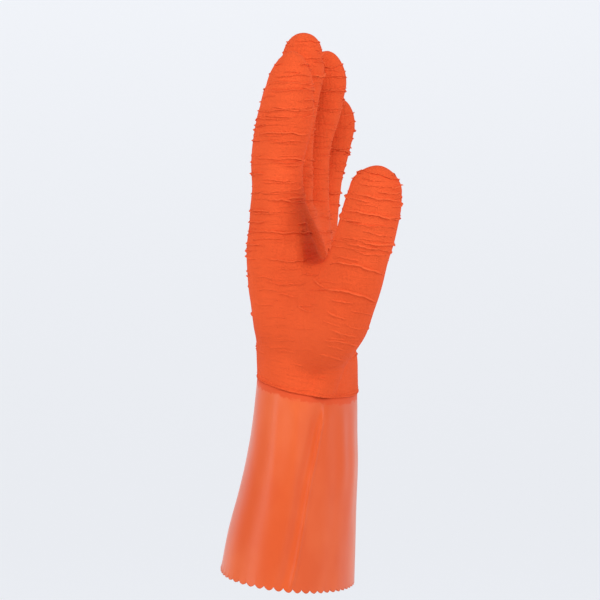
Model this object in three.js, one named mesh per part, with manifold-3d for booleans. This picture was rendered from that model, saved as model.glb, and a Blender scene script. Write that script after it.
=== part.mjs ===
// A chemical-resistant rubber glove for the left hand, in the shape that it has when it is worn:
// fingers up, thumb forward. The crinkled coat is hollow down to every fingertip. Its four fingers
// are solids of their own above their roots, and the palm with the thumb is another. The smooth
// flared cuff tucks its collar up inside the coat, and its hem is cut with pinking shears.
//
// Frame, in millimetres: the origin is the centre of the cuff's mouth, +Z runs to the fingertips, +Y
// out of the back of the hand, -Y out of the palm, and -X lies on the thumb's side.
import * as THREE from "three";
import { mergeVertices } from "three/addons/utils/BufferGeometryUtils.js";
import Module from "manifold-3d";

const wasm = await Module();
wasm.setup();

// Driving dimensions
const COAT_WALL = 1.5; // liner and rubber together, on the hand
const CUFF_WALL = 1.2;
const CLEARANCE = 0.35; // between neighbouring solids
const FINGER_ROOTS = 210; // height where the fingers' own solids begin
const THUMB_FRONT = -36; // y that parts the thumb from the fingers above the roots
const LAP = 12; // how far the collar reaches up inside the coat
const SHOULDER = 3; // height over which the cuff's inside narrows to the collar
const TOOTH_PITCH = 5.2; // pinked hem, measured round the mouth
const TOOTH_DEPTH = 1.7;
const NOTCH_MOUTH = 0.84; // widths of a notch, as shares of the pitch
const NOTCH_ROOT = 0.24;
const RUN_OUT = 12; // a hollow is cut this far past an open end

// Sloping planes: the height at (x, y), and how much it rises per millimetre of x and of y
const HEM = { x: 0, y: 0, height: 0, riseX: -0.06, riseY: 0.13 };
const COAT_EDGE = { x: 1.0, y: -11.2, height: 107.5, riseX: -0.02, riseY: 0.22 };

// Rings and sides of the lofts
const FINGER_SIDES = 16;
const PALM_SIDES = 36;
const CUFF_SIDES = 48;
const RING_STEP = 10; // along a digit
const PALM_RING_STEP = 10;
const DOME_RINGS = 4;
const DOME_POLE = 0.35; // of a ring's step, left between the last ring and the tip
const TANGENT_STEP = 0.02; // of a row, to either side
const RIM_STEPS = 12; // for each tooth, when the rim's length is measured

const table = (columns, rows) =>
  rows.map((row) => Object.fromEntries(columns.map((name, i) => [name, row[i]])));

// Each row is one cross-section: the centre's height, its place across the hand (x) and through it
// (y), and the half width and half depth, square to the digit's own line. The domed tip rises past the
// last row by tipRise, and tipRound is 2 for an ellipse and less for a more pointed tip.
const COLUMNS = ["z", "x", "y", "halfWidth", "halfDepth"];

const INDEX = {
  tipRise: 20,
  tipRound: 1.7,
  rows: table(COLUMNS, [
    [162, -31.5, -4.4, 11.0, 12.5],
    [180, -34.0, -4.8, 12.3, 15.2],
    [198, -35.5, -5.8, 12.0, 14.7],
    [214, -36.6, -6.3, 11.7, 14.1],
    [230, -37.6, -6.6, 11.4, 14.2],
    [246, -38.6, -9.8, 11.3, 15.7],
    [256, -39.2, -12.1, 11.0, 15.1],
    [267, -39.8, -13.7, 10.3, 13.1],
  ]),
};

const MIDDLE = {
  tipRise: 20,
  tipRound: 1.8,
  rows: table(COLUMNS, [
    [176, -11.0, -2.7, 12.4, 15.4],
    [198, -12.0, -2.9, 12.0, 15.0],
    [214, -12.0, -2.9, 11.8, 14.9],
    [230, -12.2, -2.9, 11.6, 15.0],
    [250, -12.5, -3.6, 11.5, 15.5],
    [264, -12.6, -6.6, 11.2, 15.4],
    [278, -12.8, -10.6, 10.4, 13.5],
  ]),
};

const RING = {
  tipRise: 18.5,
  tipRound: 1.7,
  rows: table(COLUMNS, [
    [176, 11.5, -4.6, 12.2, 15.0],
    [198, 12.0, -5.4, 11.7, 14.3],
    [214, 12.3, -5.2, 11.4, 14.2],
    [232, 12.9, -5.2, 11.2, 14.5],
    [245, 13.4, -6.9, 11.1, 15.0],
    [257, 13.9, -10.9, 10.8, 14.9],
    [271, 14.3, -14.8, 10.1, 13.8],
  ]),
};

const LITTLE = {
  tipRise: 16,
  tipRound: 1.75,
  rows: table(COLUMNS, [
    [170, 31.0, -5.0, 11.2, 13.6],
    [190, 32.4, -5.4, 10.6, 12.9],
    [204, 33.4, -6.0, 10.2, 12.7],
    [218, 35.0, -7.4, 10.0, 12.7],
    [232, 37.0, -9.8, 9.8, 13.0],
    [248, 39.2, -14.2, 9.1, 12.0],
  ]),
};

const THUMB = {
  tipRise: 12.6,
  tipRound: 1.75,
  rows: table(COLUMNS, [
    [116, -5.0, -10.0, 12.0, 12.0],
    [130, -21.0, -24.0, 18.0, 18.5],
    [146, -33.5, -36.0, 17.5, 19.2],
    [162, -40.0, -45.8, 15.0, 17.2],
    [178, -43.5, -52.9, 13.5, 15.8],
    [194, -46.0, -58.3, 13.0, 15.2],
    [206, -47.4, -61.9, 12.7, 15.0],
    [215, -48.2, -63.8, 12.1, 13.6],
  ]),
};

// The flat of the hand's near side, from the wrist up between the index finger's bone and the thumb's.
const THUMB_SIDE = {
  tipRise: 22,
  tipRound: 2,
  rows: table(COLUMNS, [
    [116, -6.0, -13.0, 22.0, 18.0],
    [130, -18.0, -15.5, 19.0, 21.5],
    [146, -27.0, -17.5, 15.5, 22.0],
    [160, -31.0, -19.0, 13.5, 21.0],
    [172, -33.0, -19.0, 12.0, 18.0],
  ]),
};

// The web above it, whose edge slopes down from the index finger to the thumb. All its sections are
// square to a line that runs forward, so its half depth is measured upward.
const THUMB_WEB = {
  line: new THREE.Vector3(0, -1, 0),
  tipRise: 2,
  tipRound: 2,
  rows: table(COLUMNS, [
    [172, -33.0, -7.0, 10.0, 32.0],
    [171, -35.0, -18.0, 9.5, 31.0],
    [168, -36.5, -25.0, 9.0, 28.0],
    [164, -38.0, -30.0, 9.0, 24.0],
    [160, -40.0, -34.5, 9.5, 20.0],
    [159, -42.0, -45.0, 10.0, 17.5],
  ]),
};

// From just below the coat's edge to the roots of the fingers.
const PALM = {
  tipRise: 9,
  tipRound: 2,
  rows: table([...COLUMNS, "squareness"], [
    [96, 1.0, -11.0, 40.0, 26.0, 2.1],
    [118, 1.0, -11.0, 40.0, 26.0, 2.1],
    [134, 0.2, -8.8, 41.0, 22.6, 2.2],
    [154, -1.0, -4.2, 43.0, 18.6, 2.4],
    [174, -1.6, -3.2, 45.0, 17.8, 2.5],
    [188, -1.4, -3.6, 44.0, 16.6, 2.5],
    [200, -1.0, -4.2, 41.5, 14.0, 2.4],
  ]),
};

// From the hem to the collar inside the coat.
const CUFF = table([...COLUMNS, "squareness"], [
  [0, 0.0, -0.2, 49.0, 35.4, 2.0],
  [22, 0.2, -2.7, 47.2, 33.5, 2.0],
  [45, 0.4, -6.1, 44.8, 30.6, 2.0],
  [67, 0.6, -8.9, 42.2, 28.6, 2.0],
  [84, 0.8, -10.1, 40.6, 26.9, 2.05],
  [100, 1.0, -11.0, 39.8, 25.8, 2.1],
  [122, 1.0, -11.8, 39.3, 24.5, 2.1],
]);

// Signed power, for the outline |a|^n + |b|^n = 1.
const power = (value, exponent) => Math.sign(value) * Math.abs(value) ** exponent;

// A smooth curve through any columns of a table, as a function of the row number, which may be a
// fraction.
function through(rows, names) {
  const curve = (name) =>
    new THREE.CatmullRomCurve3(
      rows.map((row) => new THREE.Vector3(row[name], 0, 0)),
      false,
      "catmullrom",
      0.5,
    );
  const curves = Object.fromEntries(names.map((name) => [name, curve(name)]));
  return (at) =>
    Object.fromEntries(names.map((name) => [name, curves[name].getPoint(at / (rows.length - 1)).x]));
}

// One closed outline of a section: points round the plane that across and through span.
function outline(centre, across, depthwise, size, sides) {
  const exponent = 2 / (size.squareness ?? 2);
  return Array.from({ length: sides }, (_, i) => {
    const turn = (2 * Math.PI * i) / sides;
    return centre
      .clone()
      .addScaledVector(across, size.halfWidth * power(Math.cos(turn), exponent))
      .addScaledVector(depthwise, size.halfDepth * power(Math.sin(turn), exponent));
  });
}

// The rings of a digit or of the palm, shrunk all round by inset, with a domed tip.
function domedRings(form, inset, sides, step = RING_STEP) {
  const rows = form.rows;
  const at = through(rows, Object.keys(rows[0]));
  const point = (row) => {
    const p = at(Math.min(Math.max(row, 0), rows.length - 1));
    return new THREE.Vector3(p.x, p.y, p.z);
  };
  const frame = (row) => {
    const along = form.line?.clone() ?? point(row + TANGENT_STEP).sub(point(row - TANGENT_STEP)).normalize();
    const across = new THREE.Vector3(1, 0, 0).addScaledVector(along, -along.x).normalize();
    return { along, across, depthwise: along.clone().cross(across) };
  };
  const span = rows.length - 1;
  const count = Math.max(span, Math.round((rows[span].z - rows[0].z) / step));
  const rings = [];
  for (let i = 0; i <= count; i++) {
    const row = (span * i) / count;
    const size = at(row);
    const { across, depthwise } = frame(row);
    const shrunk = { ...size, halfWidth: size.halfWidth - inset, halfDepth: size.halfDepth - inset };
    rings.push(outline(point(row), across, depthwise, shrunk, sides));
  }
  const last = at(span);
  const { along, across, depthwise } = frame(span);
  for (let i = 1; i <= DOME_RINGS; i++) {
    const turn = ((Math.PI / 2) * i) / (DOME_RINGS + DOME_POLE);
    const share = Math.cos(turn) ** (2 / form.tipRound);
    const rise = (form.tipRise - inset) * Math.sin(turn) ** (2 / form.tipRound);
    const shrunk = {
      ...last,
      halfWidth: (last.halfWidth - inset) * share,
      halfDepth: (last.halfDepth - inset) * share,
    };
    rings.push(outline(point(span).addScaledVector(along, rise), across, depthwise, shrunk, sides));
  }
  return { rings, tip: point(span).addScaledVector(along, form.tipRise - inset) };
}

// A closed surface over rings of equal length, in order from bottom to top, as a manifold solid.
function loft({ rings, tip }) {
  const sides = rings[0].length;
  const middle = (ring) =>
    ring.reduce((sum, p) => sum.add(p), new THREE.Vector3()).divideScalar(ring.length);
  const points = [...rings.flat(), middle(rings[0]), tip ?? middle(rings.at(-1))];
  const foot = rings.length * sides;
  const head = foot + 1;
  const faces = [];
  for (let r = 0; r + 1 < rings.length; r++)
    for (let i = 0; i < sides; i++) {
      const a = r * sides + i;
      const b = r * sides + ((i + 1) % sides);
      faces.push(a, b, b + sides, a, b + sides, a + sides);
    }
  for (let i = 0; i < sides; i++) {
    const next = (i + 1) % sides;
    faces.push(foot, next, i);
    faces.push(head, foot - sides + i, foot - sides + next);
  }
  return new wasm.Manifold(
    new wasm.Mesh({
      numProp: 3,
      vertProperties: new Float32Array(points.flatMap((p) => [p.x, p.y, p.z])),
      triVerts: new Uint32Array(faces),
    }),
  );
}

// A three.js geometry as a manifold solid.
function solidOf(geometry) {
  const bare = geometry.clone();
  bare.deleteAttribute("normal");
  bare.deleteAttribute("uv");
  const merged = mergeVertices(bare, 1e-4);
  return new wasm.Manifold(
    new wasm.Mesh({
      numProp: 3,
      vertProperties: merged.attributes.position.array,
      triVerts: new Uint32Array(merged.index.array),
    }),
  );
}

function meshOf(name, solid, material) {
  const made = solid.getMesh();
  const geometry = new THREE.BufferGeometry()
    .setAttribute("position", new THREE.BufferAttribute(new Float32Array(made.vertProperties), 3))
    .setIndex(new THREE.BufferAttribute(made.triVerts, 1));
  geometry.computeVertexNormals();
  const mesh = new THREE.Mesh(geometry, material);
  mesh.name = name;
  return mesh;
}

// The coat of the hand

// The height of a sloping plane at a point.
const planeHeight = (plane, p) =>
  plane.height + plane.riseX * (p.x - plane.x) + plane.riseY * (p.y - plane.y);

// The palm's rings. The lowest ring is laid in the sloping plane of the coat's edge, or drop below it,
// and the rings above it follow less and less.
function palmRings(inset, drop) {
  const made = domedRings(PALM, inset, PALM_SIDES, PALM_RING_STEP);
  const lowest = PALM.rows[0].z;
  const settled = PALM.rows[2].z;
  for (const ring of made.rings)
    for (const p of ring) {
      const share = THREE.MathUtils.clamp((settled - p.z) / (settled - lowest), 0, 1);
      p.z += share * (planeHeight(COAT_EDGE, p) - drop - lowest);
    }
  return made;
}

// The whole hand as a full body, shrunk all round by inset and cut off drop below the coat's edge.
function handBody(inset, drop) {
  let body = loft(palmRings(inset, drop));
  for (const form of [INDEX, MIDDLE, RING, LITTLE, THUMB, THUMB_SIDE, THUMB_WEB])
    body = body.add(loft(domedRings(form, inset, FINGER_SIDES)));
  return body;
}

const coat = handBody(0, 0).subtract(handBody(COAT_WALL, RUN_OUT));

// Everything above a height on the fingers' side of the thumb, as a block to cut with.
function fingerSpace(height) {
  const reach = PALM.rows[0].halfWidth * 2;
  const tall = reach * 2;
  return wasm.Manifold.cube([2 * reach, reach - THUMB_FRONT, tall]).translate([-reach, THUMB_FRONT, height]);
}

const handCoat = coat.subtract(fingerSpace(FINGER_ROOTS - CLEARANCE / 2));

// The fingers, in order from the thumb's side.
const fingers = coat
  .intersect(fingerSpace(FINGER_ROOTS + CLEARANCE / 2))
  .decompose()
  .sort((a, b) => a.boundingBox().min[0] - b.boundingBox().min[0]);

// The cuff

// One ring of the cuff at a height, shrunk all round by inset. It lies in a plane that turns from the
// hem's to the coat edge's on the way up.
function cuffRing(height, inset) {
  const size = through(CUFF, Object.keys(CUFF[0]))(rowAt(CUFF, height));
  const shrunk = { ...size, halfWidth: size.halfWidth - inset, halfDepth: size.halfDepth - inset };
  const centre = new THREE.Vector3(size.x, size.y, 0);
  const ring = outline(centre, new THREE.Vector3(1, 0, 0), new THREE.Vector3(0, 1, 0), shrunk, CUFF_SIDES);
  const share = height / COAT_EDGE.height;
  for (const p of ring)
    p.z = height - share * COAT_EDGE.height +
      THREE.MathUtils.lerp(planeHeight(HEM, p), planeHeight(COAT_EDGE, p), share);
  return ring;
}

const SLEEVE_HEIGHTS = [22, 45, 67, 84];

// The outside of the cuff as a full body: the sleeve, a flat shoulder just under the coat's edge, and
// the collar.
function cuffOutside() {
  const collar = COAT_WALL + CLEARANCE;
  const shoulder = COAT_EDGE.height - CLEARANCE;
  return loft({
    rings: [
      ...[0, ...SLEEVE_HEIGHTS, shoulder].map((height) => cuffRing(height, 0)),
      cuffRing(shoulder, collar),
      cuffRing(COAT_EDGE.height + LAP, collar),
    ],
  });
}

// The cuff's hollow, open at both ends.
function cuffHollow() {
  const narrow = COAT_WALL + CLEARANCE + CUFF_WALL;
  const top = COAT_EDGE.height - CUFF_WALL;
  return loft({
    rings: [
      ...[-RUN_OUT, ...SLEEVE_HEIGHTS, top - SHOULDER].map((height) => cuffRing(height, CUFF_WALL)),
      cuffRing(top, narrow),
      cuffRing(COAT_EDGE.height + LAP + RUN_OUT, narrow),
    ],
  });
}

// The fractional row of a table at a height, which may lie past either end of it.
function rowAt(rows, height) {
  const last = rows.length - 1;
  const above = rows.findIndex((row) => row.z > height);
  if (above === 0) return 0;
  if (above < 0) return last;
  return above - 1 + (height - rows[above - 1].z) / (rows[above].z - rows[above - 1].z);
}

// The notches of the pinked hem, as one solid of wedges that point up into the mouth's rim.
function pinking() {
  const { halfWidth, halfDepth } = CUFF[0];
  const around = Math.PI * (3 * (halfWidth + halfDepth) -
    Math.sqrt((3 * halfWidth + halfDepth) * (halfWidth + 3 * halfDepth)));
  const count = Math.round(around / TOOTH_PITCH);
  const rim = outline(
    new THREE.Vector3(),
    new THREE.Vector3(1, 0, 0),
    new THREE.Vector3(0, 1, 0),
    CUFF[0],
    count * RIM_STEPS,
  );
  // Even steps along the rim
  const lengths = rim.map((p, i) => p.distanceTo(rim[(i + 1) % rim.length]));
  const total = lengths.reduce((a, b) => a + b, 0);
  const mouth = (TOOTH_PITCH * NOTCH_MOUTH) / 2;
  const root = (TOOTH_PITCH * NOTCH_ROOT) / 2;
  const notch = new THREE.Shape([
    new THREE.Vector2(-mouth, -RUN_OUT),
    new THREE.Vector2(mouth, -RUN_OUT),
    new THREE.Vector2(mouth, 0),
    new THREE.Vector2(root, TOOTH_DEPTH),
    new THREE.Vector2(-root, TOOTH_DEPTH),
    new THREE.Vector2(-mouth, 0),
  ]);
  const depth = 6 * CUFF_WALL;
  const wedges = [];
  let walked = 0;
  let next = 0;
  for (let i = 0; i < rim.length && next < count; i++) {
    if (walked >= (total * next) / count) {
      const p = rim[i];
      const ahead = rim[(i + 1) % rim.length].clone().sub(p).normalize();
      const out = new THREE.Vector3(ahead.y, -ahead.x, 0);
      const wedge = new THREE.ExtrudeGeometry(notch, { depth, bevelEnabled: false });
      wedge.translate(0, 0, -depth / 2);
      const place = new THREE.Matrix4()
        .makeBasis(ahead, new THREE.Vector3(0, 0, 1), out)
        .setPosition(p.x, p.y, planeHeight(HEM, p));
      wedges.push(solidOf(wedge.applyMatrix4(place)));
      next += 1;
    }
    walked += lengths[i];
  }
  return wasm.Manifold.union(wedges);
}

const cuff = cuffOutside().subtract(cuffHollow()).subtract(pinking());

// Finishes
const crinkledRubber = new THREE.MeshStandardMaterial({ color: "#eb5a30", roughness: 0.85, metalness: 0 });
const smoothRubber = new THREE.MeshStandardMaterial({ color: "#e2693d", roughness: 0.35, metalness: 0 });

const glove = new THREE.Group();
glove.name = "glove";
glove.add(meshOf("hand_coat", handCoat, crinkledRubber));
["index_finger", "middle_finger", "ring_finger", "little_finger"].forEach((name, i) =>
  glove.add(meshOf(name, fingers[i], crinkledRubber)),
);
glove.add(meshOf("cuff", cuff, smoothRubber));

export default glove;
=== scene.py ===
import math

import bmesh
import bpy
import numpy as np
from bpy.props import FloatProperty, FloatVectorProperty, IntProperty, PointerProperty
from mathutils import Matrix


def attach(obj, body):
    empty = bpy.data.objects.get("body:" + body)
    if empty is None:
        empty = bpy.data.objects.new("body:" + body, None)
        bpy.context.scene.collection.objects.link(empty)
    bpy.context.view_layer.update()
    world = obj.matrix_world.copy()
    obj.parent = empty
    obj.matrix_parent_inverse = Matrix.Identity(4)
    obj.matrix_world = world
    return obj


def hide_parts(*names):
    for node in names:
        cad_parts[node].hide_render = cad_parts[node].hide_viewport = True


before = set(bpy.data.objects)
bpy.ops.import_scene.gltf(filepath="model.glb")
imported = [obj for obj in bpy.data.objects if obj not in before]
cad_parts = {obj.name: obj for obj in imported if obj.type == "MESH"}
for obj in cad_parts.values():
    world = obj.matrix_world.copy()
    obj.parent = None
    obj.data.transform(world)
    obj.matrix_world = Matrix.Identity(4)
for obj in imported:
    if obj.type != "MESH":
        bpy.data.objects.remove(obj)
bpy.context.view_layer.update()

bl_info = {
    "name": "Crinkle-grip rubber glove",
    "version": (1, 0, 0),
    "blender": (4, 5, 0),
    "location": "View3D > Sidebar > Glove",
    "description": "A long rubber glove with a crinkled hand and a smooth pinked cuff",
    "category": "Object",
}

MM = 0.001
PICTURE = 600  # width and height of the picture, in pixels

# The camera looks at the glove's thumb side from slightly above. Angles in degrees, lens and sensor
# in millimetres, the rest in metres
LOOK_TURN = 18.0
LOOK_DOWN = 4.5
LOOK_FROM = 1.15
LOOK_AT_RIGHT = 0.0068
LOOK_AT_HEIGHT = 0.153
LENS = 126.0
SENSOR = 36.0

# How far each light stands ahead of the point looked at, to its right and above it, how far above it
# the light points, and the light's width and height, in metres
LIGHTS = {
    "key": (-0.75, -1.15, 0.25, 0.0, 0.5, 1.5),
    "top": (-1.05, -0.3, 1.5, 0.0, 1.0, 1.0),
    "fill": (-0.65, 0.8, 0.38, 0.1, 0.4, 0.7),
}
ROOM_COLOUR = (0.95, 0.97, 1.0, 1)
# The backdrop: half its width, which its floor also has behind the camera, where it bends up, and its
# height, in metres
BACKDROP_HALF = 9.0
BEND_FROM = 1.2
BACKDROP_TOP = 4.0

FAR = 60.0  # millimetres, stands for a distance too large to matter
COAT_NODES = ("hand_coat", "index_finger", "middle_finger", "ring_finger", "little_finger")

# Sloping planes, in millimetres: the height at (x, y), and the rise per millimetre of x and of y
HEM = {"x": 0.0, "y": 0.0, "height": 0.0, "rise_x": -0.06, "rise_y": 0.13}
COAT_EDGE = {"x": 1.0, "y": -11.2, "height": 107.5, "rise_x": -0.02, "rise_y": 0.22}
SETTLED = 146.0  # height from which the hand's sections no longer slope with the coat's edge


def viewpoint():
    """Directions to the right, level ahead, forward and up, the point looked at, and the camera's."""
    turn, down = math.radians(LOOK_TURN), math.radians(LOOK_DOWN)
    right = np.array([math.sin(turn), -math.cos(turn), 0])
    level = np.array([math.cos(turn), math.sin(turn), 0])
    upright = np.array([0, 0, 1.0])
    forward = level * math.cos(down) - upright * math.sin(down)
    up = level * math.sin(down) + upright * math.cos(down)
    aim = right * LOOK_AT_RIGHT + upright * LOOK_AT_HEIGHT
    return right, level, forward, up, aim, aim - forward * LOOK_FROM


RIGHT, LEVEL, FORWARD, UP, AIM, SPOT = viewpoint()
UPRIGHT = np.array([0, 0, 1.0])


def plane_height(plane, x, y):
    """Height of a sloping plane at points: its height at its own point plus the rises along x and y."""
    return plane["height"] + plane["rise_x"] * (x - plane["x"]) + plane["rise_y"] * (y - plane["y"])


def through(rows, at):
    """Each column of a table as a smooth Catmull-Rom curve of the row number, at fractional row numbers."""
    ends = np.vstack([2 * rows[0] - rows[1], rows, 2 * rows[-1] - rows[-2]])
    i = np.clip(np.floor(at).astype(int), 0, len(rows) - 2)
    t = (at - i)[:, None]
    a, b, c, d = ends[i], ends[i + 1], ends[i + 2], ends[i + 3]
    return 0.5 * (
        2 * b + (c - a) * t + (2 * a - 5 * b + 4 * c - d) * t**2 + (3 * b - a - 3 * c + d) * t**3
    )


def unit(vectors):
    """Vectors of length one."""
    return vectors / np.maximum(np.linalg.norm(vectors, axis=-1, keepdims=True), 1e-9)


def power(value, exponent):
    """Signed power."""
    return np.sign(value) * np.abs(value) ** exponent


class Form:
    """A loft of the hand: oval sections along a curved line, with a domed tip. Rows are the centre's
    height, x and y, the half width, the half depth and, if given, the squareness of the section."""

    SAMPLES = 41
    DOME_RINGS = 9

    def __init__(self, rows, tip_rise, tip_round, line=None, foot_rise=12.0, slopes=False):
        rows = np.array(rows, float)
        if rows.shape[1] == 5:
            rows = np.hstack([rows, np.full((len(rows), 1), 2.0)])
        self.rows, self.tip_rise, self.tip_round = rows, tip_rise, tip_round
        self.line, self.foot_rise, self.slopes = line, foot_rise, slopes
        self.last = len(rows) - 1
        self.sections = self.section(np.linspace(0, self.last, self.SAMPLES))
        reach = rows[:, 3:5].max() + tip_rise
        self.low = self.sections["centre"].min(axis=0) - reach
        self.high = self.sections["centre"].max(axis=0) + reach

    def section(self, at):
        """Centre, directions and size of the sections at fractional row numbers."""
        values = through(self.rows, at)
        centre = values[:, [1, 2, 0]]
        if self.line is None:
            step = 0.02
            ahead = through(self.rows, np.minimum(at + step, self.last))[:, [1, 2, 0]]
            behind = through(self.rows, np.maximum(at - step, 0))[:, [1, 2, 0]]
            along = unit(ahead - behind)
        else:
            along = np.tile(np.array(self.line, float), (len(at), 1))
        across = unit(np.array([1.0, 0, 0]) - along * along[:, :1])
        depthwise = np.cross(along, across)
        level = values[:, 0].copy()
        tilt_x, tilt_y = np.zeros(len(at)), np.zeros(len(at))
        if self.slopes:
            lowest = self.rows[0, 0]
            share = np.clip((SETTLED - level) / (SETTLED - lowest), 0, 1)
            lift = share * (plane_height(COAT_EDGE, centre[:, 0], centre[:, 1]) - lowest)
            centre = centre + np.stack([0 * lift, 0 * lift, lift], axis=1)
            tilt_x, tilt_y = share * COAT_EDGE["rise_x"], share * COAT_EDGE["rise_y"]
            level = level + lift
        aslant = [along[:, 0] - along[:, 2] * tilt_x, along[:, 1] - along[:, 2] * tilt_y, along[:, 2]]
        normal = unit(np.stack(aslant, axis=1))
        half_width, half_depth, square = values[:, 3:6].T
        return {
            "centre": centre,
            "normal": normal,
            "across": across,
            "depthwise": depthwise,
            "half_width": half_width,
            "half_depth": half_depth,
            "square": square,
            "tilt_x": tilt_x,
            "tilt_y": tilt_y,
            "level": level,
            "along": along,
        }

    def row_at(self, level):
        """Row numbers for levels along the form, past the last row in the domed tip."""
        levels = self.rows[:, 0]
        inside = np.interp(level, levels, np.arange(len(levels)))
        climb = np.clip((level - levels[-1]) / self.tip_rise, 0, 1) ** (self.tip_round / 2)
        return inside + np.arcsin(climb) / (math.pi / 2)

    def surface(self, at, turn):
        """Points of the loft at row numbers and turns round the section: the centre, plus the half
        width times the signed power of the cosine across, plus the half depth times that of the sine
        through. Past the last row the section shrinks to the domed tip."""
        s = self.section(np.clip(at, 0, self.last))
        climb = np.clip(at - self.last, 0, 1) * (math.pi / 2)
        share = np.cos(climb) ** (2 / self.tip_round)
        rise = self.tip_rise * np.sin(climb) ** (2 / self.tip_round)
        c = power(np.cos(turn), 2 / s["square"]) * s["half_width"] * share
        d = power(np.sin(turn), 2 / s["square"]) * s["half_depth"] * share
        points = s["centre"] + s["across"] * c[:, None] + s["depthwise"] * d[:, None]
        points = points + s["along"] * rise[:, None]
        off = points - s["centre"]
        points[:, 2] += s["tilt_x"] * off[:, 0] + s["tilt_y"] * off[:, 1]
        return points

    def measure(self, points):
        """Signed distance of points from the loft, and their level along it. A point's section is the
        one whose plane it lies in; its distance is measured from the section's middle."""
        distance, level = np.full(len(points), FAR), points[:, 2].copy()
        near = np.all((points > self.low) & (points < self.high), axis=1)
        if not near.any():
            return distance, level
        p, s = points[near], self.sections
        rise = p @ s["normal"].T - np.sum(s["centre"] * s["normal"], axis=1)
        j = np.clip((rise > 0).sum(axis=1) - 1, 0, self.SAMPLES - 2)
        pick = np.arange(len(p))
        first, second = rise[pick, j], rise[pick, j + 1]
        gap = first - second
        share = np.clip(first / np.where(np.abs(gap) < 1e-9, 1e-9, gap), 0, 1)

        def mixed(name):
            w = share if s[name].ndim == 1 else share[:, None]
            return s[name][j] * (1 - w) + s[name][j + 1] * w

        off = p - mixed("centre")
        off[:, 2] -= mixed("tilt_x") * off[:, 0] + mixed("tilt_y") * off[:, 1]
        u = np.sum(off * mixed("across"), axis=1)
        v = np.sum(off * mixed("depthwise"), axis=1)
        n = mixed("square")
        flat = (np.abs(u / mixed("half_width")) ** n + np.abs(v / mixed("half_depth")) ** n) ** (1 / n)
        above = np.maximum(rise[:, -1], 0)
        below = np.maximum(-rise[:, 0], 0)
        if self.foot_rise is None:
            below = 0 * below
        beyond = above + below
        size = np.where(above > 0, self.tip_rise, self.foot_rise or 1.0)
        bend = np.where(above > 0, self.tip_round, 2.0)
        k = (flat**bend + (beyond / size) ** bend) ** (1 / bend)
        length = np.sqrt(u**2 + v**2 + beyond**2 + 1e-6)
        distance[near] = length - length / np.maximum(k, 1e-4)
        level[near] = mixed("level") + above
        return distance, level

    def grid(self, sides, step, foot=0.0):
        """Closed grid over the loft, as rings of points, and its faces. foot lengthens it downwards."""
        span = self.rows[-1, [1, 2, 0]] - self.rows[0, [1, 2, 0]]
        count = max(self.last, int(np.linalg.norm(span) / step))
        dome = self.last + np.linspace(0, 1, self.DOME_RINGS + 2)[1:-1]
        at = np.concatenate([np.linspace(0, self.last, count), dome])
        turn = np.arange(sides) * (2 * math.pi / sides)
        a, t = np.meshgrid(at, turn, indexing="ij")
        points = self.surface(a.ravel(), t.ravel()).reshape(len(at), sides, 3)
        if foot:
            lowest = points[:1].copy()
            lowest[..., 2] -= foot
            points = np.concatenate([lowest, points])
        return closed_tube(points, self.surface(np.array([self.last + 1.0]), np.zeros(1))[0])


def closed_tube(rings, tip=None):
    """Vertices and faces of a closed body over rings of points: quads between neighbouring rings, and
    a fan to the middle of each end ring, or to tip at the last."""
    count, sides = rings.shape[:2]
    i = np.arange(sides)
    nxt = (i + 1) % sides
    base = (np.arange(count - 1) * sides)[:, None]
    quads = np.stack([base + i, base + nxt, base + nxt + sides, base + i + sides], axis=-1).reshape(-1, 4)
    foot, head = count * sides, count * sides + 1
    ends = [rings[0].mean(axis=0), rings[-1].mean(axis=0) if tip is None else tip]
    points = np.vstack([rings.reshape(-1, 3), ends])
    low = np.stack([np.full(sides, foot), nxt, i], axis=1)
    high = np.stack([np.full(sides, head), (count - 1) * sides + i, (count - 1) * sides + nxt], axis=1)
    return points, [quads, low, high]


def wrapped_quads(count, sides):
    """Quads of a grid of points that closes on itself both ways: so many rings, and points in each."""
    i, j = np.arange(sides), np.arange(count)
    here, after = (j * sides)[:, None], ((j + 1) % count * sides)[:, None]
    nxt = (i + 1) % sides
    return np.stack([here + i, here + nxt, after + nxt, after + i], axis=-1).reshape(-1, 4)


def joined(parts):
    """Several (points, face groups) as one."""
    points, faces, offset = [], [], 0
    for p, groups in parts:
        points.append(p)
        faces.extend(g + offset for g in groups)
        offset += len(p)
    return np.vstack(points), faces


def new_mesh(name, points, groups, smooth=True):
    """A mesh object from points in millimetres and arrays of faces with three or four corners."""
    mesh = bpy.data.meshes.new(name)
    loops = np.concatenate([g.ravel() for g in groups])
    sizes = np.concatenate([np.full(len(g), g.shape[1]) for g in groups])
    starts = np.concatenate([[0], np.cumsum(sizes)[:-1]])
    mesh.vertices.add(len(points))
    mesh.vertices.foreach_set("co", (points * MM).ravel())
    mesh.loops.add(len(loops))
    mesh.loops.foreach_set("vertex_index", loops.astype(np.int32))
    mesh.polygons.add(len(sizes))
    mesh.polygons.foreach_set("loop_start", starts.astype(np.int32))
    mesh.polygons.foreach_set("use_smooth", np.full(len(sizes), smooth))
    mesh.update(calc_edges=True)
    mesh.validate()
    obj = bpy.data.objects.new(name, mesh)
    bpy.context.scene.collection.objects.link(obj)
    return obj


def vertices(mesh):
    """The mesh's points, in millimetres."""
    out = np.empty(len(mesh.vertices) * 3, np.float32)
    mesh.vertices.foreach_get("co", out)
    return out.reshape(-1, 3).astype(float) / MM


def set_attribute(mesh, name, values):
    """A number for every vertex, under a name that the material reads."""
    layer = mesh.attributes.new(name, "FLOAT", "POINT")
    layer.data.foreach_set("value", np.asarray(values, np.float32))


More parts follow.
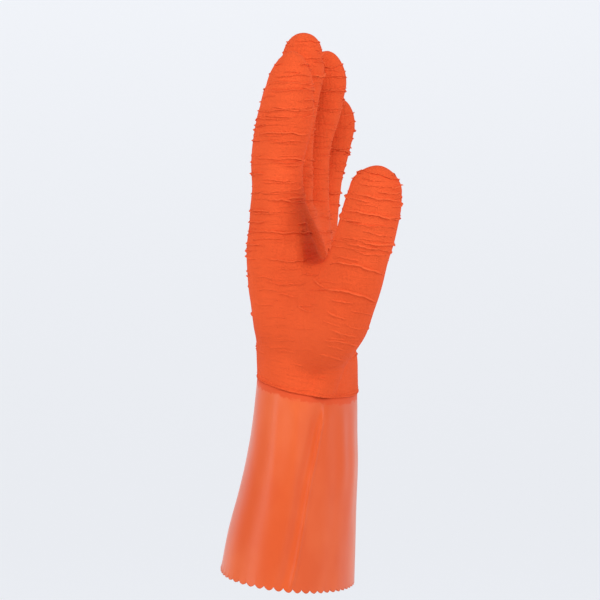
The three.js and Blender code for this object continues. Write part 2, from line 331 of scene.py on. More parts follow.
# The hand's forms, in millimetres
INDEX = Form(
    [
        [162, -31.5, -4.4, 11.0, 12.5],
        [180, -34.0, -4.8, 12.3, 15.2],
        [198, -35.5, -5.8, 12.0, 14.7],
        [214, -36.6, -6.6, 11.7, 13.8],
        [230, -37.6, -6.8, 11.4, 14.0],
        [246, -38.6, -10.3, 11.3, 15.2],
        [256, -39.2, -12.8, 11.0, 14.4],
        [267, -39.8, -14.3, 10.3, 12.6],
    ],
    tip_rise=20,
    tip_round=1.75,
)
MIDDLE = Form(
    [
        [176, -11.0, -2.7, 12.4, 15.4],
        [198, -12.0, -2.9, 12.0, 15.0],
        [214, -12.0, -2.9, 11.8, 14.9],
        [230, -12.2, -2.9, 11.6, 15.0],
        [250, -12.5, -3.6, 11.5, 15.5],
        [264, -12.6, -6.6, 11.2, 15.4],
        [278, -12.8, -11.6, 10.4, 13.0],
        [284, -12.8, -12.7, 9.6, 10.8],
    ],
    tip_rise=13.4,
    tip_round=2.1,
)
RING = Form(
    [
        [176, 11.5, -4.6, 12.2, 15.0],
        [198, 12.0, -5.4, 11.7, 14.3],
        [214, 12.3, -5.2, 11.4, 14.2],
        [232, 12.9, -5.2, 11.2, 14.5],
        [245, 13.4, -6.9, 11.1, 15.0],
        [257, 13.9, -10.9, 10.8, 14.9],
        [271, 14.3, -14.8, 10.1, 13.8],
    ],
    tip_rise=18.5,
    tip_round=1.75,
)
LITTLE = Form(
    [
        [170, 31.0, -5.0, 11.2, 13.6],
        [190, 32.4, -5.4, 10.6, 12.9],
        [204, 33.4, -6.0, 10.2, 12.7],
        [218, 35.0, -7.4, 10.0, 12.7],
        [232, 37.0, -9.8, 9.8, 13.0],
        [248, 39.2, -14.2, 9.1, 12.0],
    ],
    tip_rise=16,
    tip_round=1.75,
)
THUMB = Form(
    [
        [116, -5.0, -10.0, 12.0, 11.5],
        [130, -21.0, -23.6, 18.0, 17.6],
        [146, -33.5, -36.0, 17.5, 19.2],
        [162, -40.0, -45.8, 15.0, 17.2],
        [178, -43.5, -52.9, 13.5, 15.8],
        [194, -46.0, -58.3, 13.0, 15.2],
        [206, -47.4, -61.9, 12.7, 15.0],
        [215, -48.2, -63.8, 12.1, 13.6],
    ],
    tip_rise=12.6,
    tip_round=1.8,
)
THUMB_SIDE = Form(
    [
        [116, -6.0, -13.0, 22.0, 18.0],
        [130, -18.0, -15.5, 19.0, 21.5],
        [146, -27.0, -17.5, 15.5, 22.0],
        [160, -31.0, -19.0, 13.5, 21.0],
        [172, -33.0, -19.0, 12.0, 18.0],
    ],
    tip_rise=22,
    tip_round=2,
)
THUMB_WEB = Form(
    [
        [172, -33.0, -7.0, 10.0, 32.0],
        [171, -35.0, -18.0, 9.5, 31.0],
        [168, -36.5, -25.0, 9.0, 28.0],
        [164, -38.0, -30.0, 9.0, 24.0],
        [160, -40.0, -34.5, 9.5, 20.0],
        [159, -42.0, -45.0, 10.0, 17.5],
    ],
    tip_rise=2,
    tip_round=2,
    line=(0, -1, 0),
    foot_rise=2.0,
)
ROOT_FOLD = Form(
    [
        [172.3, -21.9, -21.8, 7.5, 7.5],
        [178.6, -19.5, -21.1, 7.5, 7.5],
        [185.1, -21.0, -19.8, 7.2, 7.2],
        [188.8, -22.2, -18.4, 7.0, 7.0],
        [192.6, -23.5, -16.9, 7.0, 7.0],
        [199.1, -26.7, -14.7, 7.0, 7.0],
        [206.1, -29.7, -12.0, 7.0, 7.0],
        [210.9, -31.3, -10.6, 7.0, 7.0],
    ],
    tip_rise=7,
    tip_round=2,
    foot_rise=7.0,
)
HEEL_WIDE, HEEL_DEEP = 12.0, 9.0
HEEL = Form(
    [
        (*place, HEEL_WIDE, HEEL_DEEP)
        for place in (
            (94, -21.3, -21.1),
            (100, -21.4, -22.7),
            (106, -21.5, -24.4),
            (112, -21.5, -26.4),
            (118, -21.5, -28.6),
            (125, -21.9, -31.3),
            (134, -23.0, -36.1),
        )
    ],
    tip_rise=7,
    tip_round=2,
)
PALM = Form(
    [
        [96, 1.0, -11.5, 39.8, 25.8, 2.1],
        [110, 0.9, -11.3, 39.9, 25.6, 2.1],
        [122, 0.6, -10.6, 40.2, 24.8, 2.15],
        [134, 0.2, -8.8, 41.0, 22.8, 2.2],
        [154, -1.0, -4.2, 43.0, 18.6, 2.4],
        [174, -1.6, -3.2, 45.0, 17.8, 2.5],
        [188, -1.4, -3.6, 44.0, 16.6, 2.5],
        [200, -1.0, -4.2, 41.5, 14.0, 2.4],
    ],
    tip_rise=9,
    tip_round=2,
    foot_rise=None,
    slopes=True,
)
# From the hem up to the coat's edge, and inside the coat
CUFF_ROWS = np.array(
    [
        [0, 0.0, -0.2, 49.0, 35.4, 2.0],
        [22, 0.2, -2.7, 47.2, 33.5, 2.0],
        [45, 0.4, -6.1, 44.8, 30.6, 2.0],
        [67, 0.6, -8.9, 42.2, 28.6, 2.0],
        [84, 0.8, -10.1, 40.6, 26.9, 2.05],
        [100, 1.0, -11.0, 39.8, 25.8, 2.1],
        [122, 1.0, -11.8, 39.3, 24.5, 2.1],
    ]
)
FORMS = {
    "palm": PALM,
    "thumb side": THUMB_SIDE,
    "web": THUMB_WEB,
    "thumb": THUMB,
    "root fold": ROOT_FOLD,
    "heel": HEEL,
    "index": INDEX,
    "middle": MIDDLE,
    "ring": RING,
    "little": LITTLE,
}
# How softly each form runs into what the ones before it make, in millimetres
BLENDS = {"thumb side": 7.0, "web": 6.0, "thumb": 7.0, "root fold": 3.0, "heel": 2.5}
FINGER_BLEND = 1.2
PALM_BLEND = 5.0
# Near the coat's edge they run together less softly: the share at two heights, in millimetres
BLEND_HEIGHTS = (116, 138)
BLEND_SHARES = (0.4, 1.0)


def soft_min(a, b, width):
    """Smaller of two distances, rounded where they are within width of each other."""
    h = np.maximum(width - np.abs(a - b), 0) / width
    return np.minimum(a, b) - h * h * width * 0.25


def lumps(points):
    """Slow unevenness of the rubber, in millimetres: a sum of three products of waves."""
    x, y, z = points[:, 0], points[:, 1], points[:, 2]
    return (
        0.16 * np.sin(x / 5.1 + 0.7) * np.sin(z / 4.3 + y / 9.0)
        + 0.14 * np.sin(y / 4.4 + 1.3) * np.sin(z / 6.7 - x / 8.0 + 2.0)
        + 0.10 * np.sin(z / 2.9 + x / 6.0 + 0.4) * np.sin(y / 5.9 + 0.9)
    )


# Where the index finger's root rolls away into the palm's hollow: a wedge of space that starts on the
# near face at a pixel of the picture and a distance in millimetres ahead of the point looked at. Its
# line leans from upright, in degrees. Going up, at the levels given in millimetres from that place,
# its back recedes by so many degrees, and it ends so far to the right. It starts softly on the left:
# how softly it is cut at two shares of its width. Its corners are rounded
HOLLOW_AT = (298.0, 233.0)
HOLLOW_AHEAD = -50.5
HOLLOW_LEAN = 14.0
HOLLOW_LEVELS = (-18.4, -12.0, -8.0, 15.6)
HOLLOW_RECEDES = (62.0, 62.0, 60.0, 50.0)
HOLLOW_RIGHT = (11.2, 13.4, 14.6, 14.6)
HOLLOW_SOFT = (7.0, 2.0)
HOLLOW_SOFT_FROM = (0.3, 0.9)
HOLLOW_CORNER = 5.0
HOLLOW_FRONT = -13.0


def seen_at(across, down, ahead):
    """Points at pixels of the picture, a distance in millimetres ahead of the point looked at."""
    scale = LENS / SENSOR * PICTURE
    across, down, ahead = np.broadcast_arrays(across, down, ahead)
    way = (
        FORWARD
        + RIGHT * ((across - PICTURE / 2) / scale)[..., None]
        + UP * ((PICTURE / 2 - down) / scale)[..., None]
    )
    return SPOT / MM + way * (LOOK_FROM / MM + ahead)[..., None]


def hollow_ways():
    """The wedge's directions along its line and across it, and its place."""
    lean = math.radians(HOLLOW_LEAN)
    along = UP * math.cos(lean) - RIGHT * math.sin(lean)
    across = RIGHT * math.cos(lean) + UP * math.sin(lean)
    return along, across, seen_at(*HOLLOW_AT, HOLLOW_AHEAD)


def hollow(points):
    """Signed distance from the wedge, and how softly it is cut at each point."""
    along, across, place = hollow_ways()
    off = points - place
    long_way, wide_way = off @ along, off @ across
    back = np.radians(np.interp(long_way, HOLLOW_LEVELS, HOLLOW_RECEDES))
    end = np.interp(long_way, HOLLOW_LEVELS, HOLLOW_RIGHT)
    rear = (off @ FORWARD) * np.cos(back) - wide_way * np.sin(back)
    low, high = HOLLOW_LEVELS[0], HOLLOW_LEVELS[-1]
    sides = -soft_min(-(low - long_way), -(long_way - high), HOLLOW_CORNER)
    sides = -soft_min(-sides, -(wide_way - end), HOLLOW_CORNER)
    soft = np.interp(wide_way / end, HOLLOW_SOFT_FROM, HOLLOW_SOFT)
    return -soft_min(-sides, -rear, HOLLOW_CORNER), soft


def hollow_block():
    """The wedge as a closed prism, for the rough cut: a triangle at each of its levels, whose front
    lies a little before the near face."""
    along, across, place = hollow_ways()
    slope = np.tan(np.radians(HOLLOW_RECEDES))
    end, front = np.array(HOLLOW_RIGHT), np.full(len(slope), HOLLOW_FRONT)
    wide = np.stack([front / slope, end, end], axis=1)
    deep = np.stack([front, front, end * slope], axis=1)
    rings = place + np.array(HOLLOW_LEVELS)[:, None, None] * along
    return closed_tube(rings + wide[..., None] * across + deep[..., None] * FORWARD)


def hand_field(points):
    """Signed distance from the skin of the hand: every form, run softly together, less the hollow."""
    body = PALM.measure(points)[0]
    low = np.interp(points[:, 2], BLEND_HEIGHTS, BLEND_SHARES)
    for name, width in BLENDS.items():
        body = soft_min(body, FORMS[name].measure(points)[0], width * low)
    fingers = None
    for form in (INDEX, MIDDLE, RING, LITTLE):
        d = form.measure(points)[0]
        fingers = d if fingers is None else soft_min(fingers, d, FINGER_BLEND)
    whole = soft_min(body, fingers, PALM_BLEND) - lumps(points)
    return -soft_min(-whole, *hollow(points))


SIGHT_FROM = -110.0  # millimetres ahead of the point looked at, on the camera's side of the hand
SIGHT_STEPS = 70


def skin_ahead(across, down):
    """How far ahead of the point looked at the skin is seen at pixels of the picture: each line of
    sight is followed in steps of six tenths of the distance still left to the skin."""
    ahead = np.full(len(across), SIGHT_FROM)
    for _ in range(SIGHT_STEPS):
        ahead = ahead + 0.6 * np.clip(hand_field(seen_at(across, down, ahead)), -4, 12)
    return ahead


def hand_slope(points, step=0.15):
    """The field and its gradient, by a step along each axis."""
    here = hand_field(points)
    slope = [(hand_field(points + step * axis) - here) / step for axis in np.eye(3)]
    return here, np.stack(slope, axis=1)


def onto_skin(points, rounds=5):
    """Points moved along the gradient until the field is nothing there. Also the outward normals."""
    for _ in range(rounds):
        value, slope = hand_slope(points)
        steep = np.maximum(np.sum(slope * slope, axis=1), 0.05)
        move = -(value / steep)[:, None] * slope
        far = np.linalg.norm(move, axis=1, keepdims=True)
        points = points + move * np.minimum(1.0, 1.5 / np.maximum(far, 1e-9))
    return points, unit(hand_slope(points)[1])


# How far crinkles keep to the true level rather than square to the form's leaning line
LEVELLED = {
    "palm": 0.0,
    "thumb side": 0.7,
    "thumb": 0.4,
    "index": 0.9,
    "middle": 0.9,
    "ring": 0.9,
    "little": 0.9,
}
LEVEL_BLEND = 6.0  # millimetres over which one form's level gives way to the next one's


def crinkle_level(points):
    """Height along whichever digit or palm a point belongs to, run together where they meet. Level
    lines run round each digit, as the crinkles do."""
    distance, level = [], []
    for name, share in LEVELLED.items():
        far, along = FORMS[name].measure(points)
        distance.append(far)
        level.append(along + share * (points[:, 2] - along))
    distance, level = np.array(distance), np.array(level)
    weight = np.exp(-(distance - distance.min(axis=0)) / LEVEL_BLEND)
    return np.sum(weight * level, axis=0) / np.sum(weight, axis=0)


def frozen(obj):
    """The object with its modifiers applied, in place of the old mesh."""
    graph = bpy.context.evaluated_depsgraph_get()
    mesh = bpy.data.meshes.new_from_object(obj.evaluated_get(graph), depsgraph=graph)
    obj.modifiers.clear()
    old = obj.data
    obj.data = mesh
    bpy.data.meshes.remove(old)
    mesh.name = obj.name
    return obj


def even(obj, size):
    """The object remeshed as one skin of small even faces."""
    remesh = obj.modifiers.new("even", "REMESH")
    remesh.mode = "VOXEL"
    remesh.voxel_size = size
    frozen(obj)


def make_hand_skin(s):
    """The crinkled coat's body: closed lofts of the palm, thumb and fingers, remeshed as one, less
    the hollow, drawn onto the field where they run softly together, cut at the sloping edge, and given
    its wall."""
    parts = [form.grid(48, 3.0, foot=8.0 if form is PALM else 0.0) for form in FORMS.values()]
    points, faces = joined(parts)
    skin = new_mesh("hand_skin", points, faces)
    block = new_mesh("hollow_block", *hollow_block(), smooth=False)
    even(skin, s.voxel)
    cut = skin.modifiers.new("hollow", "BOOLEAN")
    cut.operation, cut.solver, cut.object = "DIFFERENCE", "EXACT", block
    frozen(skin)
    even(skin, s.voxel)
    bpy.data.objects.remove(block)
    points, _ = onto_skin(vertices(skin.data))
    skin.data.vertices.foreach_set("co", (points * MM).astype(np.float32).ravel())
    work = bmesh.new()
    work.from_mesh(skin.data)
    edge = np.array([COAT_EDGE["x"], COAT_EDGE["y"], COAT_EDGE["height"]]) * MM
    normal = (-COAT_EDGE["rise_x"], -COAT_EDGE["rise_y"], 1.0)
    bmesh.ops.bisect_plane(
        work,
        geom=work.verts[:] + work.edges[:] + work.faces[:],
        dist=1e-6,
        plane_co=edge,
        plane_no=normal,
        clear_inner=True,
    )
    work.to_mesh(skin.data)
    work.free()
    wall = skin.modifiers.new("wall", "SOLIDIFY")
    wall.thickness = s.coat_wall
    wall.offset = -1
    frozen(skin)
    points = vertices(skin.data)
    set_attribute(skin.data, "crinkle_level", crinkle_level(points))
    skin.data.polygons.foreach_set("use_smooth", np.ones(len(skin.data.polygons), bool))
    return skin


# Ridges that stand out on the near side of each finger: level in millimetres, middle turn and half
# span in degrees, height in millimetres, slope
NAMED_RIDGES = {
    "index": [
        (273.7, 205, 60, 0.6, 0),
        (270.4, 200, 70, 0.7, 0),
        (266.4, 205, 75, 0.9, 0),
        (257.3, 215, 60, 0.5, 0),
        (252.0, 190, 50, 0.4, 0.02),
        (243.9, 200, 62, 0.9, 0),
        (239.5, 215, 40, 0.45, 0),
        (231.3, 175, 45, 0.5, -0.03),
        (229.6, 225, 50, 0.8, 0.03),
        (218.7, 200, 50, 0.5, -0.03),
        (213.5, 190, 45, 0.4, 0),
    ],
    "middle": [
        (292.5, 230, 80, 0.5, 0),
        (284.0, 250, 70, 0.5, 0),
        (273.5, 245, 70, 0.9, 0),
        (259.8, 240, 60, 0.9, 0),
        (250.0, 250, 50, 0.5, 0),
        (242.0, 245, 50, 0.5, 0.03),
        (226.5, 245, 55, 0.8, -0.06),
        (221.5, 250, 45, 0.6, -0.08),
    ],
    "ring": [
        (280.5, 230, 80, 0.5, 0),
        (278.0, 235, 70, 0.7, 0),
        (267.4, 240, 75, 1.0, 0),
        (257.9, 245, 60, 0.7, 0),
        (249.0, 240, 60, 0.5, 0),
        (240.0, 245, 60, 0.5, 0.02),
    ],
    "little": [
        (254.6, 240, 70, 0.9, 0),
        (247.0, 240, 50, 0.5, 0),
        (236.3, 245, 70, 1.0, 0),
        (227.0, 245, 60, 0.5, 0),
    ],
}
# Ridges of the broad near face, where the forms run together: three places each in the picture's
# pixels, and the height in millimetres
FACE_RIDGES = [
    (363, 170, 386, 177, 400.5, 180.2, 0.9),
    (378, 192.6, 390, 193, 401.5, 193.6, 0.75),
    (355, 192.6, 379, 198.6, 402, 200.6, 1),
    (344, 210, 369, 213.8, 399.5, 220.6, 1.2),
    (357, 183.4, 365, 184.6, 375, 186, 0.4),
    (362, 177, 367, 178.4, 374, 180.6, 0.35),
    (356, 203, 366, 205, 379, 207, 0.4),
    (346, 222, 360, 225, 375, 227.5, 0.4),
    (362, 231, 376, 234, 393, 237.5, 0.5),
    (341, 236.5, 352, 239, 364, 241, 0.45),
    (370, 185.4, 382, 187, 394, 187.8, 0.4),
    (257, 230, 286, 232.8, 317, 231, 0.9),
    (268, 199.6, 288, 200.4, 304.5, 203.4, 1),
    (262, 178.6, 275, 180.2, 290, 181.2, 0.6),
    (265.7, 257.9, 290, 261.4, 306, 260, 0.7),
    (256.4, 277.9, 264, 277, 273, 278.5, 0.4),
    (266, 281, 284, 284.3, 305, 283, 0.5),
    (278, 294.3, 287, 294.6, 297, 298, 0.55),
    (255, 303, 264, 304.6, 275, 304, 0.4),
    (297, 305, 304, 306.2, 313, 305, 0.5),
    (302, 273.6, 309, 275, 318.5, 274.3, 0.5),
    (333, 257.4, 345, 258, 359, 261, 0.5),
    (331, 263.6, 354, 264.8, 384, 275, 1.1),
    (347, 243.4, 368, 247.6, 390, 251, 0.8),
    (353, 250, 371, 254.6, 387, 254, 0.55),
    (312, 290, 346, 291.5, 377, 302.5, 1),
    (331, 299.6, 342, 302, 354, 303, 0.55),
    (326, 311, 335, 315.6, 346, 319.5, 0.85),
    (351, 311, 361, 312.4, 373, 315.5, 0.6),
    (346, 325, 354, 328, 365, 329, 0.6),
    (330, 329.4, 343, 334, 358, 337, 0.9),
    (326, 336.4, 340, 339.4, 361, 339.6, 0.5),
    (325, 341, 341, 341.6, 359, 347, 1),
    (327, 345.8, 336, 347.6, 346, 351, 0.7),
    (319, 354.6, 330, 356.2, 344, 361.2, 0.85),
    (317, 377.6, 321, 378.6, 325, 377.6, 0.4),
    (262, 318, 276, 317, 291, 319.5, 0.3),
    (285, 327, 300, 329, 316, 328, 0.3),
    (268, 340, 282, 341, 296, 340, 0.28),
    (290, 349, 302, 350, 314, 349, 0.25),
    (281, 268, 291, 269.5, 300, 268.6, 0.35),
    (312, 281, 324, 281.6, 337, 283, 0.35),
    (320, 321, 330, 323.4, 341, 327, 0.4),
]
# Where other ridges are strewn: form, lowest and highest level, step between levels
RIDGE_FIELDS = [
    ("index", 178, 284, 4.6),
    ("middle", 196, 295, 4.6),
    ("ring", 196, 286, 4.6),
    ("little", 190, 261, 4.6),
    ("thumb", 140, 225, 4.8),
    ("palm", 116, 200, 3.6),
]
STREWN_AT_LEVEL = 4  # half of them anywhere, half along the left and right
# Turns in degrees: the left and right as the picture sees them, how far ridges stray from there, the
# near face, and the half spans of ridges on the palm and on the digits
LEFT_TURN, RIGHT_TURN, SIDE_SPREAD = 108, 288, 16
NEAR_FACE = (165, 255)
PALM_SPANS = (12, 34)
DIGIT_SPANS = (22, 80)
LOW_HEIGHTS = (0.18, 0.5)  # millimetres, of the ridges strewn on the near face
OWN_RIDGES_TO = 182  # level up to which the near face of thumb and index finger has only its own
PALM_HEIGHT = 0.75  # share of the height that ridges have on the palm
# Profile of a ridge, from its steep side over the crest to its gentle side and under the skin:
# places across in half widths, and heights in crest heights, or in millimetres where below nothing
RIDGE_ACROSS = np.array([0.5, 0.06, 0.20, 0.34, 0.12, -0.16, -0.52, -1.0, -0.5, 0.2])
RIDGE_UP = np.array([-0.25, 0.02, 0.55, 0.95, 1.0, 0.58, 0.16, -0.25, -0.5, -0.5])
RIDGE_SAMPLES = 28
# Waves of a ridge's wandering, in millimetres: their sizes, and the range of lengths of each but the
# last
WAVE_SIZES = (0.5, 0.22, 0.08, 0.04)
WAVE_LENGTHS = ((22, 40), (9, 16), (4, 7))
LAST_WAVE = 2.2
ANY_PHASE = 6.28
PALM_RADIUS, DIGIT_RADIUS = 24.0, 13.0  # of the round that a ridge's span is measured on
# A ridge is gone this far under the skin of another form, and fades over this distance, in millimetres
BURIED_AT, BURIED_OVER = 3.2, 2.0
TAPER = 0.35  # share of half a ridge over which it rises from its end
TAPER_CURVE = 0.8
# How far a ridge of the near face runs past its first and third places, as shares of its length, and
# the shares over which it tapers there
FACE_FROM, FACE_TO = -0.06, 1.04
FACE_RISE, FACE_FALL = 0.3, 0.16
DEPTH_STEP = 1.7  # millimetres that its depth changes by at most, from sample to sample
# Ridges low in the picture wander less and stand lower: the shares between two pixels each
WANDER_PIXELS, WANDER_SHARES = (285, 310), (1.0, 0.35)
LOWER_PIXELS, LOWER_SHARES = (300, 315), (1.0, 0.7)
# The share of ridges whose profile is turned round, on the near face and elsewhere
FACE_LEAN, OTHER_LEAN = 1.0, 0.72
SINK = 0.3  # millimetres that a ridge lies lower where it has hardly any height
CREST_HIGHLIGHT = 0.45  # how far a crest is lightened at most towards the crest colour: a painted highlight
CREST_HIGHLIGHT_HEIGHT = 0.8  # millimetres of height from which a crest gets all of that painted highlight


def strewn_ridges(random):
    """Rows like those of NAMED_RIDGES, with the form first, strewn all round each form at uneven
    levels, more of them along its left and right as the picture sees it. The broad near face has only
    its own."""
    rows = []
    for name, low, high, step in RIDGE_FIELDS:
        level = low + random.uniform(0, step)
        while level < high:
            for i in range(STREWN_AT_LEVEL):
                anywhere = i < STREWN_AT_LEVEL // 2
                span = random.uniform(*(PALM_SPANS if name == "palm" else DIGIT_SPANS))
                side = LEFT_TURN if random.uniform() < 0.5 else RIGHT_TURN
                turn = random.uniform(0, 360) if anywhere else random.normal(side, SIDE_SPREAD)
                seen = turn + span > NEAR_FACE[0] and turn - span < NEAR_FACE[1]
                if seen and anywhere:
                    height = random.uniform(*LOW_HEIGHTS)
                else:
                    height = 0.3 + 1.05 * random.uniform() ** 1.6
                height *= PALM_HEIGHT if name == "palm" else 1.0
                slope = random.normal(0, 0.03)
                if not (seen and name in ("thumb", "index") and level < OWN_RIDGES_TO):
                    rows.append((name, level + random.uniform(-1.5, 1.5), turn, span, height, slope))
            level += step * random.uniform(0.55, 1.5)
    return rows


def ridge_paths(rows, random):
    """Paths of ridges on the skin, as an array of ridges by samples, with their normals and how far
    each sample is raised. A path keeps its level round the form, plus its slope and a wandering made
    of four waves; it tapers at both ends and where another form buries it."""
    reach = np.linspace(-1, 1, RIDGE_SAMPLES)
    starts, raised = [], []
    for name, level, turn, span, height, slope in rows:
        form = FORMS[name]
        radius = PALM_RADIUS if name == "palm" else DIGIT_RADIUS
        walk = radius * math.radians(span) * reach
        waves = [random.uniform(*lengths) for lengths in WAVE_LENGTHS] + [LAST_WAVE]
        wander = sum(
            size * np.sin(walk * 2 * math.pi / wave + random.uniform(0, ANY_PHASE))
            for size, wave in zip(WAVE_SIZES, waves)
        )
        around = np.radians(turn + span * reach)
        drift = level + slope * walk + wander
        at = form.row_at(drift)
        low = np.minimum(at, form.last)
        tilt = form.surface(low, around)[:, 2] - form.section(low)["centre"][:, 2]
        starts.append(form.surface(form.row_at(drift - LEVELLED[name] * tilt), around))
        taper = np.clip((1 - np.abs(reach)) / TAPER, 0, 1) ** TAPER_CURVE
        slow = np.sin(walk * 2 * math.pi / 5.3 + random.uniform(0, ANY_PHASE))
        quick = np.sin(walk * 2 * math.pi / 2.9 + random.uniform(0, ANY_PHASE))
        raised.append(height * taper * (0.82 + 0.18 * slow * quick))
    start = np.concatenate(starts)
    buried = np.clip((hand_field(start) + BURIED_AT) / BURIED_OVER, 0, 1).reshape(len(rows), -1)
    path, normal = onto_skin(start, 4)
    shape = (len(rows), RIDGE_SAMPLES, 3)
    return path.reshape(shape), normal.reshape(shape), np.array(raised) * buried


def face_paths(random):
    """Paths of the ridges of the near face: a curve through the three places of each, with a slight
    wandering, followed along the lines of sight to the skin from its middle outwards. Past the edge of
    a form it stays near the depth that it had, and is drawn onto the skin there."""
    table = np.array(FACE_RIDGES)
    t = np.linspace(FACE_FROM, FACE_TO, RIDGE_SAMPLES)
    first, second, third = 2 * (t - 0.5) * (t - 1), -4 * t * (t - 1), 2 * t * (t - 0.5)
    across = table[:, [0]] * first + table[:, [2]] * second + table[:, [4]] * third
    down = table[:, [1]] * first + table[:, [3]] * second + table[:, [5]] * third
    low = table[:, [3]]
    phase = random.uniform(0, ANY_PHASE, (len(table), 2))
    wander = 0.5 * np.sin(across / 3.1 + phase[:, :1]) + 0.25 * np.sin(across / 1.1 + phase[:, 1:])
    down = down + np.interp(low, WANDER_PIXELS, WANDER_SHARES) * wander
    ahead = skin_ahead(across.ravel(), down.ravel()).reshape(across.shape)
    middle = RIDGE_SAMPLES // 2
    rightwards = [(i, i - 1) for i in range(middle + 1, RIDGE_SAMPLES)]
    leftwards = [(i, i + 1) for i in range(middle - 1, -1, -1)]
    for here, before in rightwards + leftwards:
        step = ahead[:, here] - ahead[:, before]
        ahead[:, here] = ahead[:, before] + np.clip(step, -DEPTH_STEP, DEPTH_STEP)
    path, normal = onto_skin(seen_at(across, down, ahead).reshape(-1, 3), 6)
    taper = np.clip((t - FACE_FROM) / FACE_RISE, 0, 1) * np.clip((FACE_TO - t) / FACE_FALL, 0, 1)
    raised = taper**TAPER_CURVE * (0.8 + 0.2 * np.sin(across / 1.9 + phase[:, 1:]))
    raised = raised * table[:, 6:] * np.interp(low, LOWER_PIXELS, LOWER_SHARES)
    shape = (len(table), RIDGE_SAMPLES, 3)
    return path.reshape(shape), normal.reshape(shape), raised


def make_ridges(name, paths, random, s):
    """Ridges as one mesh: the leaning profile carried along every path, closed at both ends. The part
    of the profile that has no height lies under the skin."""
    path, normal, raised = paths
    along = unit(np.gradient(path, axis=1))
    aside = unit(np.cross(normal, along))
    share = FACE_LEAN if name == "face_crinkles" else OTHER_LEAN
    turned = random.uniform(0, 1, len(path))[:, None] < share
    across = np.where(turned, -RIDGE_ACROSS[::-1], RIDGE_ACROSS)
    up = np.where(turned, RIDGE_UP[::-1], RIDGE_UP)[:, None, :]
    half = s.ridge_width / MM * (0.75 + 0.5 * np.clip(raised, 0, 1))
    tall = raised[..., None]
    high = np.where(up > 0, up * tall, up) - SINK * np.clip(1 - tall / 0.15, 0, 1)
    points = (
        path[:, :, None, :]
        + aside[:, :, None, :] * (across[:, None, :] * half[..., None])[..., None]
        + normal[:, :, None, :] * high[..., None]
    )
    whole, faces = joined([closed_tube(p) for p in points])
    ridges = new_mesh(name, whole, faces)
    set_attribute(ridges.data, "crinkle_level", crinkle_level(whole))
    # The crests are lightened by their height: a painted highlight that stands in for the light on them
    crest_highlight = CREST_HIGHLIGHT * np.clip(high / CREST_HIGHLIGHT_HEIGHT, 0, 1)
    ends = np.zeros((len(path), 2))
    set_attribute(ridges.data, "highlit", np.hstack([crest_highlight.reshape(len(path), -1), ends]).ravel())
    return ridges


# The double line at the coat's edge, in millimetres: how far above the edge each round lies, half its
# thickness, how strongly it waves, and whether it is the upper one
BEADS = ((0.35, 0.42, 0.4, False), (2.1, 0.22, 1.6, True))
BEAD_SAMPLES, BEAD_SIDES = 240, 8


def make_edge_bead():
    """The double line at the coat's edge: two thin rounds carried once round the wrist and drawn onto
    the skin, the upper one thinner and more wavy."""
    count, sides = BEAD_SAMPLES, BEAD_SIDES
    turn = np.arange(count) * (2 * math.pi / count)
    angle = np.arange(sides) * (2 * math.pi / sides)
    parts = []
    for lift, thick, rising, upper in BEADS:
        wave = 0.22 * np.sin(turn * 5 + lift) + 0.12 * np.sin(turn * 13 + 2 * lift)
        start = PALM.surface(np.zeros(count), turn)
        start[:, 2] = plane_height(COAT_EDGE, start[:, 0], start[:, 1]) + lift + wave * rising
        path, normal = onto_skin(start, 3)
        if not upper:
            path[:, 2] = plane_height(COAT_EDGE, path[:, 0], path[:, 1]) + lift + 0.3 * wave
        along = unit(np.roll(path, -1, axis=0) - np.roll(path, 1, axis=0))
        aside = unit(np.cross(normal, along))
        rings = (
            path[:, None]
            + aside[:, None] * (np.cos(angle) * thick * 1.3)[None, :, None]
            + normal[:, None] * (np.sin(angle) * thick - 0.05)[None, :, None]
        )
        parts.append((rings.reshape(-1, 3), [wrapped_quads(count, sides)]))
    points, faces = joined(parts)
    bead = new_mesh("coat_edge_bead", points, faces)
    set_attribute(bead.data, "crinkle_level", points[:, 2])
    return bead


# The long soft fold of the cuff: the turn of its crest, in degrees, at heights in millimetres
FOLD_HEIGHTS = [0, 18, 36, 62, 97, 107]
FOLD_TURNS = [206, 209.5, 211.5, 213.5, 223, 226]
# Its crest and the trough beside it: millimetres out or in, half widths in degrees, how many degrees
# the trough lies to the left, and how much of both there is at heights in millimetres
CREST_OUT, CREST_WIDE = 0.95, 1.9
TROUGH_IN, TROUGH_WIDE, TROUGH_LEFT = 1.25, 5.0, 6.8
CREST_HEIGHTS, CREST_SHARES = [0, 6, 92, 107], [0.55, 1.0, 1.0, 0.0]
# Other soft folds: turn in degrees, drift in degrees up the cuff, half width in degrees, height in
# millimetres, lowest and highest level
SOFT_FOLDS = [
    (197, -3, 6, 0.6, 45, 118),
    (182, -3, 7, -0.4, 45, 118),
    (249, 2, 7, 0.8, 45, 112),
    (222, 6, 8, 0.9, 62, 125),
    (262, 8, 9, 0.7, 20, 110),
    (240, 4, 8, -0.5, 0, 90),
    (150, -4, 12, 0.5, 0, 100),
    (95, 3, 10, 0.9, 10, 110),
    (60, -5, 12, -0.6, 0, 80),
    (15, 4, 10, 0.8, 15, 110),
    (330, -6, 11, -0.8, 0, 100),
    (305, 5, 9, 0.7, 30, 110),
]
FOLD_FADE = 25  # millimetres over which such a fold fades towards its ends
# The cuff's top, in millimetres: how far it narrows there, and its collar inside the coat
LIP = 1.7
COLLAR = 10
# The pinked hem: columns of the grid to a tooth, and how the teeth fade upwards and where they end, in
# millimetres. The hem is measured at so many samples
RIM_SAMPLES = 4001
TOOTH_COLUMNS = 10
TOOTH_FADE = 2.2
TOOTH_REACH = 14


